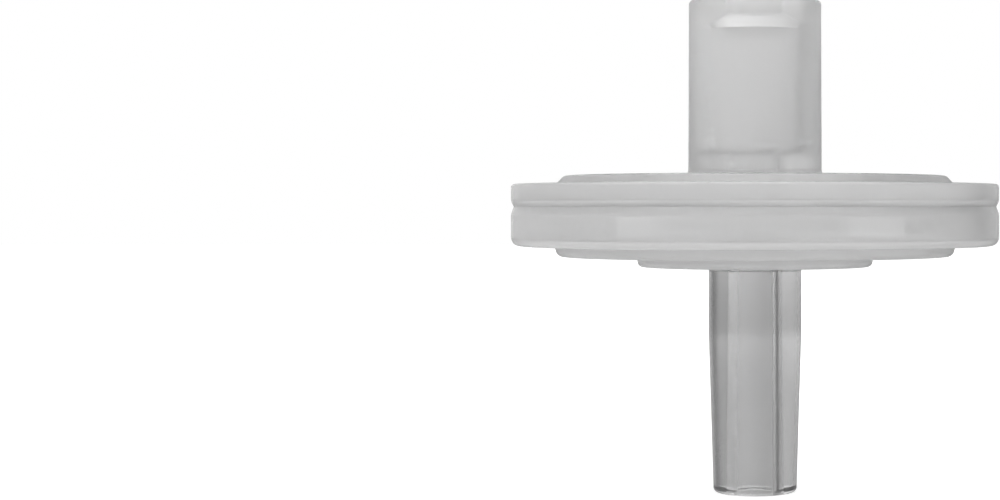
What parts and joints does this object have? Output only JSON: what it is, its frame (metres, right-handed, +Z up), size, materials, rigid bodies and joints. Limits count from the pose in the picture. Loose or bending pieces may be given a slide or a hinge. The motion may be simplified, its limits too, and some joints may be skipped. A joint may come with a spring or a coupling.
{
  "type": "syringe filter",
  "caption": "Round translucent disc filter with a lugged female taper hub above and a slim tapered outlet below, clamping a white membrane over a ribbed grid.",
  "frame": {"origin": "centre of the outlet tip's end face, where the filter stands", "axes": "+Z up along the flow axis from the outlet to the inlet, +Y through one of the two lock lugs"},
  "size_m": [0.023, 0.023, 0.0233],
  "materials": {
    "translucent_polypropylene": "satin translucent moulding",
    "membrane_white": "matt, finely porous",
    "print_ink": "matt pad print"
  },
  "bodies": {
    "root": {"inlet_housing": "translucent_polypropylene", "outlet_housing": "translucent_polypropylene", "membrane": "membrane_white"}
  },
  "joints": []
}
